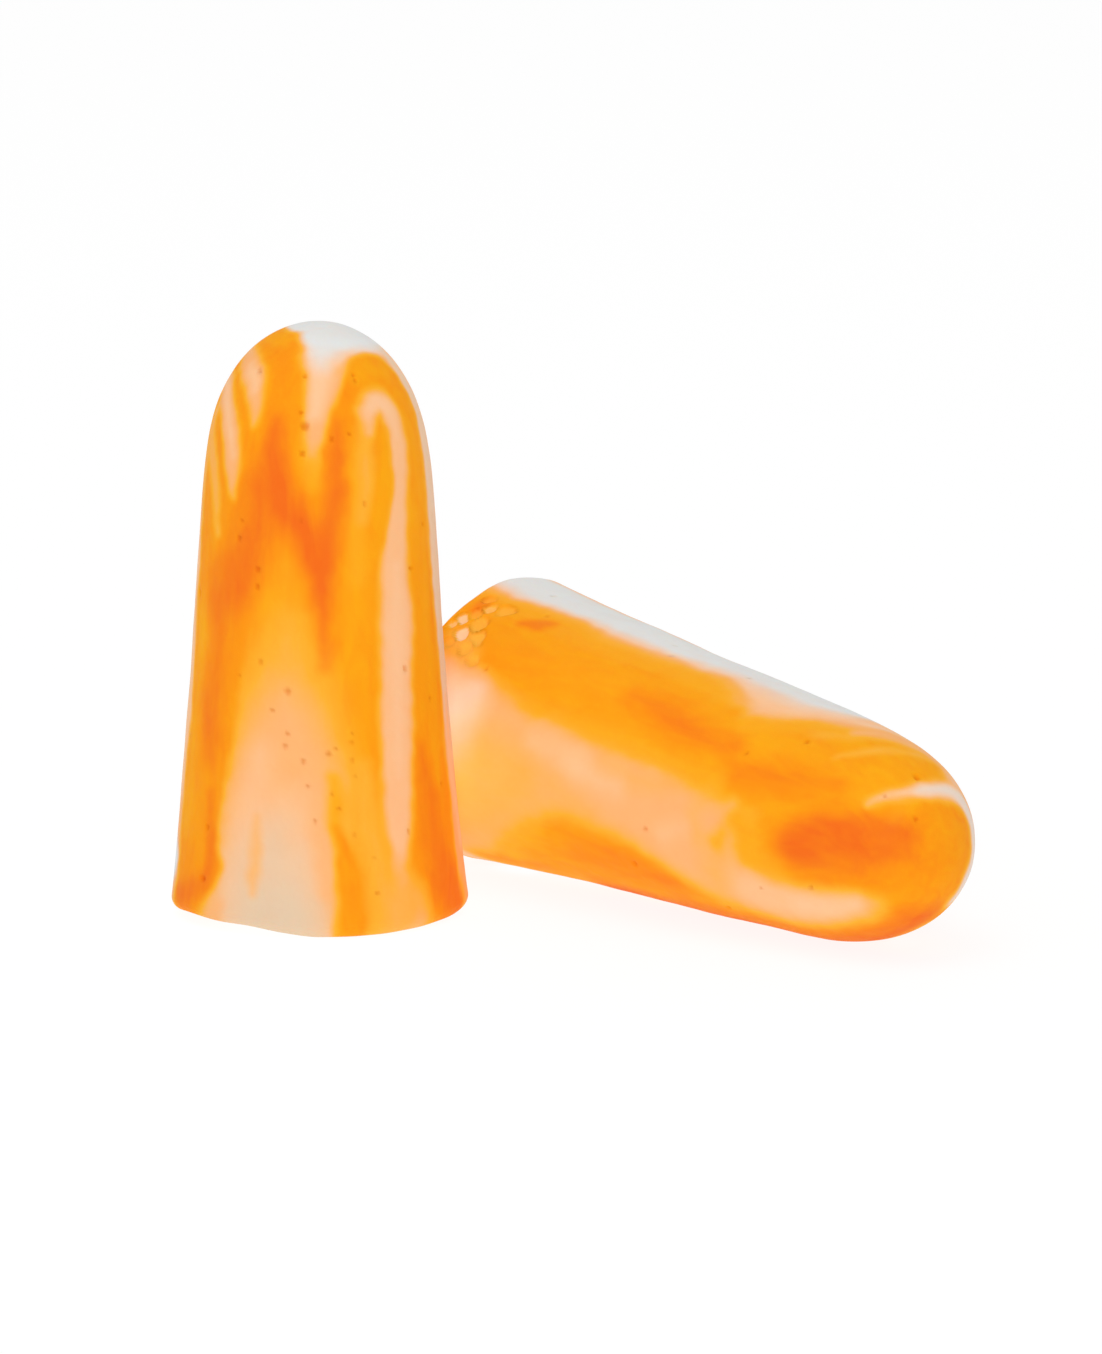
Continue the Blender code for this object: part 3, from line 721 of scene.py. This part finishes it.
FULL_AMBER = 0.65  # with this much dye pale foam has turned amber; above it the full dye comes in
FULL_ORANGE = 0.4  # at this depth marigold has turned orange; above it the deep orange comes in
DRAWN_OUT = 0.3  # the wisps are this share as fine along the plug as across it
WISP_STRENGTH = 0.3
WISPS_AT_EDGES = 3.0  # how much the wisps move the dye's edges, and how much the rest of it
WISPS_ELSEWHERE = 0.1
STREAK_STRENGTH = 0.6
GRAIN_STRENGTH = 0.06
MOTTLE_STRENGTH = 0.12
BLUSH = 0.12  # the most that the wisps redden the pale foam
PIT_STRENGTH = 0.8
LOWEST_ROUGHNESS = 0.62
ROUGHNESS_SPREAD = 0.16
PORES_PER_MM = 3.4
PORE_DEPTH = 0.03 * MM
SCATTER_DEPTH = 0.5 * MM


class Nodes:
    """Short helpers for wiring one material's nodes."""

    def __init__(self, material):
        self.tree = material.node_tree
        self.shader = self.tree.nodes["Principled BSDF"]

    def add(self, kind, **settings):
        node = self.tree.nodes.new(kind)
        for name, value in settings.items():
            setattr(node, name, value)
        return node

    def feed(self, socket, value):
        if isinstance(value, bpy.types.NodeSocket):
            self.tree.links.new(value, socket)
        else:
            socket.default_value = value

    def attribute(self, name, output="Fac"):
        return self.add("ShaderNodeAttribute", attribute_name=name).outputs[output]

    def math(self, operation, first, second=0.0, third=0.0):
        node = self.add("ShaderNodeMath", operation=operation)
        for socket, value in zip(node.inputs, (first, second, third)):
            self.feed(socket, value)
        return node.outputs[0]

    def share(self, value, low, high, top=1.0):
        """0 at low, rising evenly to top at high."""
        node = self.add("ShaderNodeMapRange", interpolation_type="LINEAR")
        for socket, given in zip(node.inputs, (value, low, high, 0.0, top)):
            self.feed(socket, given)
        return node.outputs["Result"]

    def mix(self, share, first, second, blend="MIX"):
        node = self.add("ShaderNodeMixRGB", blend_type=blend)
        for socket, value in zip(node.inputs, (share, first, second)):
            self.feed(socket, value)
        return node.outputs["Color"]

    def noise(self, vector, scale, detail=3.0, roughness=0.5, distortion=0.0):
        node = self.add("ShaderNodeTexNoise")
        self.feed(node.inputs["Vector"], vector)
        node.inputs["Scale"].default_value = scale
        node.inputs["Detail"].default_value = detail
        node.inputs["Roughness"].default_value = roughness
        node.inputs["Distortion"].default_value = distortion
        return node.outputs["Fac"]


def foam_material(name):
    """Swirled slow-recovery foam: pigments from the strokes, wisps, grain, fine pores, soft sheen."""
    material = bpy.data.materials.new(name)
    material.use_nodes = True
    nodes = Nodes(material)
    place = nodes.attribute("plug_place", "Vector")  # millimetres, along the plug's own axes
    drawn = nodes.add("ShaderNodeMapping", vector_type="POINT")
    drawn.inputs["Scale"].default_value = (1.0, 1.0, DRAWN_OUT)
    nodes.feed(drawn.inputs["Vector"], place)

    # wisps and streaks: the swirl is broken up by noise that is drawn out along the plug
    along = drawn.outputs["Vector"]
    wisp = nodes.noise(along, scale=1.1, detail=4.0, roughness=0.6, distortion=0.6)
    wisp = nodes.math("MULTIPLY_ADD", wisp, WISP_STRENGTH, -WISP_STRENGTH / 2)
    streak = nodes.noise(along, scale=1.2, detail=2.0, roughness=0.5, distortion=0.8)
    streak = nodes.math("MULTIPLY_ADD", streak, STREAK_STRENGTH, -STREAK_STRENGTH / 2)
    raw = nodes.attribute("orange")
    edge = nodes.math("MULTIPLY", raw, nodes.math("SUBTRACT", 1.0, raw))
    edge = nodes.math("MULTIPLY_ADD", edge, WISPS_AT_EDGES, WISPS_ELSEWHERE)
    orange = nodes.math("MULTIPLY_ADD", wisp, edge, raw)
    deep = nodes.math("ADD", streak, nodes.attribute("deep"))

    blush = nodes.share(wisp, 0.0, WISP_STRENGTH / 2, BLUSH)
    pale = nodes.mix(blush, nodes.attribute("pale", "Vector"), PINK)
    dyed = nodes.mix(nodes.share(deep, 0.0, FULL_ORANGE), MARIGOLD, ORANGE)
    dyed = nodes.mix(nodes.share(deep, FULL_ORANGE, 1.0), dyed, DEEP)
    tinted = nodes.mix(nodes.share(orange, 0.0, FULL_AMBER), pale, AMBER)
    colour = nodes.mix(nodes.share(orange, FULL_AMBER, 1.0), tinted, dyed)

    # grain, and the painted shade in pinholes and on the burst bubbles' walls
    grain = nodes.noise(place, scale=5.5, detail=5.0, roughness=0.65)
    mottle = nodes.noise(place, scale=0.9, detail=2.0)
    colour = nodes.mix(nodes.share(grain, 0.3, 0.8, GRAIN_STRENGTH), colour, GRAIN_TINT, "MULTIPLY")
    colour = nodes.mix(nodes.share(mottle, 0.4, 0.8, MOTTLE_STRENGTH), colour, MOTTLE_TINT, "MULTIPLY")
    lining = nodes.attribute("lining")
    colour = nodes.mix(nodes.share(lining, 0.0, 0.5), colour, BUBBLE_GOLD)
    colour = nodes.mix(nodes.share(lining, 0.5, 1.0), colour, BUBBLE_CREAM)
    # painted shade on the bubbles' walls and round the cluster
    colour = nodes.mix(nodes.attribute("wall"), colour, WALL_SHADE, "MULTIPLY")
    shade = nodes.math("MULTIPLY", nodes.attribute("shade"), PIT_STRENGTH)
    colour = nodes.mix(shade, colour, PIT_SHADE, "MULTIPLY")
    nodes.feed(nodes.shader.inputs["Base Color"], colour)

    rough = nodes.share(nodes.noise(place, scale=2.2), 0.3, 0.7, ROUGHNESS_SPREAD)
    nodes.feed(nodes.shader.inputs["Roughness"], nodes.math("ADD", rough, LOWEST_ROUGHNESS))
    nodes.shader.inputs["Specular IOR Level"].default_value = 0.06
    nodes.shader.inputs["Sheen Weight"].default_value = 0.01
    nodes.shader.inputs["Sheen Roughness"].default_value = 0.5
    nodes.shader.inputs["Subsurface Weight"].default_value = 0.15
    nodes.shader.inputs["Subsurface Radius"].default_value = (1.0, 0.5, 0.25)
    nodes.shader.inputs["Subsurface Scale"].default_value = SCATTER_DEPTH

    # the closed skin's fine pores
    pores = nodes.add("ShaderNodeTexVoronoi", feature="SMOOTH_F1")
    nodes.feed(pores.inputs["Vector"], place)
    pores.inputs["Scale"].default_value = PORES_PER_MM
    pores.inputs["Smoothness"].default_value = 0.6
    relief = nodes.math("MULTIPLY_ADD", grain, 0.7, pores.outputs["Distance"])
    bump = nodes.add("ShaderNodeBump")
    bump.inputs["Strength"].default_value = 0.35
    bump.inputs["Distance"].default_value = PORE_DEPTH
    nodes.feed(bump.inputs["Height"], relief)
    nodes.feed(nodes.shader.inputs["Normal"], bump.outputs["Normal"])
    return material


# ---------------------------------------------------------------------------------------------
# Building a plug
# ---------------------------------------------------------------------------------------------


def add_attribute(mesh, name, values, kind="FLOAT", key="value"):
    made = mesh.attributes.new(name, kind, "POINT")
    made.data.foreach_set(key, np.ascontiguousarray(values, np.float32).ravel())


# Where a plug's rim is worn: the middle and half width of an arc in degrees, how far the wear
# reaches up the side, and how far it lifts the rim and presses it in, in mm.
STANDING_WEAR = {"middle": -45, "half_arc": 48, "reach": 5.0, "lift": 0.36, "press": 0.0}
LYING_WEAR = {"middle": 30, "half_arc": 27, "reach": 3.2, "lift": 0.0, "press": 0.17}
ARC_PLATEAU = 1.35  # over 1, so that the wear is full for a stretch around its middle


def worn_share(angle, down, base_down, wear):
    """1 in the middle of the worn arc at the base, fading to 0 round the rim and up the side."""
    turned = (angle - wear["middle"] + 180) % 360 - 180
    arc = smooth_step(ARC_PLATEAU * (1 - np.abs(turned) / wear["half_arc"]))
    return arc * smooth_step((down - base_down + wear["reach"]) / wear["reach"])


def foam_plug(plug, strokes, pinholes, bubbles, wear, seed):
    """The foam surface that stands for one CAD plug, painted, carved and placed."""
    angle, down, faces = surface_chart(plug)
    flat = plug.points(angle, down)
    move, shade, walls, lining = carve(plug, angle, down, pinholes, bubbles, seed)
    worn = worn_share(angle, down, plug.base_down, wear)
    radius = np.linalg.norm(flat[:, :2], axis=1)
    shaped = flat + plug.normals(angle, down) * move[:, None]
    shaped[:, :2] *= 1 - (wear["press"] * worn / np.maximum(radius, 1))[:, None]
    shaped[:, 2] += wear["lift"] * worn
    state = marble(plug, flat, strokes, seed + 20)
    turn = np.array(plug.place.to_3x3())
    placed = shaped @ turn.T * MM + np.array(plug.place.translation)

    name = plug.node + "_foam"
    mesh = bpy.data.meshes.new(name)
    mesh.from_pydata(placed, [], faces.tolist())
    mesh.shade_smooth()
    add_attribute(mesh, "plug_place", shaped, "FLOAT_VECTOR", "vector")
    add_attribute(mesh, "orange", state[:, 0])
    add_attribute(mesh, "deep", state[:, 1])
    add_attribute(mesh, "pale", state[:, 2:], "FLOAT_VECTOR", "vector")
    add_attribute(mesh, "shade", np.clip(shade, 0, 1))
    add_attribute(mesh, "wall", walls)
    add_attribute(mesh, "lining", lining)
    mesh.materials.append(foam_material(name))
    piece = bpy.data.objects.new(name, mesh)
    bpy.context.scene.collection.objects.link(piece)
    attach(piece, plug.node)
    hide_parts(plug.node)


def base_mount(name):
    """Where a plug's base centre is, and its axis from base to tip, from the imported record."""
    mount = next(m for m in frame["record"]["mounts"] if m["name"] == name)
    return Vector(mount["pos_m"]), -Vector(mount["axis"])


# ---------------------------------------------------------------------------------------------
# Floor, light and camera
# ---------------------------------------------------------------------------------------------

FLOOR_SIDE = 6.0
FLOOR_GREY = (0.15, 0.15, 0.15, 1.0)
FLOOR_GLOW = 0.87
WHITE = (1.0, 1.0, 1.0, 1.0)
ROOM_LIGHT = 0.68
SOFTBOX_WATTS = 0.72
GAP_FILL_WATTS = 0.0011
SENSOR = 36.0  # in millimetres, along the picture's longer side, which is its height
LENS = 205.915  # in millimetres
CAMERA_PLACE = (9.406 * MM, -307.2 * MM, 70.85 * MM)
CAMERA_DIP = 0.1971  # radians below level


def add_floor():
    """A light table: pale, glowing evenly, with a little shade where the plugs touch it."""
    bpy.ops.mesh.primitive_plane_add(size=FLOOR_SIDE, location=(0, 0, 0))
    floor = bpy.context.object
    floor.name = "floor"
    material = bpy.data.materials.new("light_table")
    material.use_nodes = True
    shader = material.node_tree.nodes["Principled BSDF"]
    shader.inputs["Base Color"].default_value = FLOOR_GREY
    shader.inputs["Roughness"].default_value = 0.9
    shader.inputs["Specular IOR Level"].default_value = 0.0
    shader.inputs["Emission Color"].default_value = WHITE
    shader.inputs["Emission Strength"].default_value = FLOOR_GLOW
    floor.data.materials.append(material)


def add_softbox(name, place, aim, width):
    light = bpy.data.lights.new(name, "AREA")
    light.shape = "DISK"
    light.size = width
    light.energy = SOFTBOX_WATTS
    lamp = bpy.data.objects.new(name, light)
    bpy.context.scene.collection.objects.link(lamp)
    lamp.location = place
    lamp.rotation_euler = (Vector(aim) - Vector(place)).to_track_quat("-Z", "Y").to_euler()


def add_light():
    """An even white room, a wide soft light over the plugs and a smaller one behind the camera."""
    world = bpy.data.worlds.new("studio")
    bpy.context.scene.world = world
    world.use_nodes = True
    background = world.node_tree.nodes["Background"]
    background.inputs["Color"].default_value = WHITE
    background.inputs["Strength"].default_value = ROOM_LIGHT
    middle = (10 * MM, 0, 8 * MM)
    add_softbox("over", place=(-0.08, -0.05, 0.6), aim=middle, width=0.4)
    add_softbox("front", place=(0.0, -0.6, 0.16), aim=middle, width=0.12)
    add_gap_fill()


def add_gap_fill():
    """Lights the lying plug where the standing one nearly touches it, which would else go dark."""
    light = bpy.data.lights.new("gap_fill", "POINT")
    light.energy = GAP_FILL_WATTS
    light.shadow_soft_size = 2 * MM
    light.use_shadow = False
    lamp = bpy.data.objects.new("gap_fill", light)
    bpy.context.scene.collection.objects.link(lamp)
    lamp.location = (0, 0, 4.5 * MM)


def add_camera():
    data = bpy.data.cameras.new("camera")
    data.sensor_width = SENSOR
    data.lens = LENS
    camera = bpy.data.objects.new("camera", data)
    bpy.context.scene.collection.objects.link(camera)
    camera.location = CAMERA_PLACE
    camera.rotation_euler = (math.pi / 2 - CAMERA_DIP, 0, 0)
    bpy.context.scene.camera = camera


def main():
    add_camera()
    add_floor()
    add_light()
    bpy.context.scene.view_settings.view_transform = "Standard"

    base, axis = base_mount("standing_base")
    standing = Plug("standing_plug", 1.0, 1.0, base, axis, front=(0, -1, 0))
    base, axis = base_mount("lying_base")
    lying = Plug("lying_plug", LYING_STRETCH, LYING_GIRTH, base, axis, front=(0, 0, 1))
    longer = lying.base_down / standing.base_down
    standing_back = far_side(LYING_STROKES, turn=120, stretch=1 / longer)
    lying_back = far_side(STANDING_STROKES, turn=250, stretch=longer)
    foam_plug(
        standing,
        on_the_base(standing, turn=0) + standing_back + STANDING_STROKES,
        STANDING_PINHOLES + scattered_pinholes(seed=3, count=45, bottom=25),
        [],
        STANDING_WEAR,
        seed=100,
    )
    foam_plug(
        lying,
        on_the_base(lying, turn=140) + lying_back + LYING_STROKES,
        LYING_PINHOLES + scattered_pinholes(seed=4, count=24, bottom=27),
        RIM_BUBBLES,
        LYING_WEAR,
        seed=200,
    )


main()
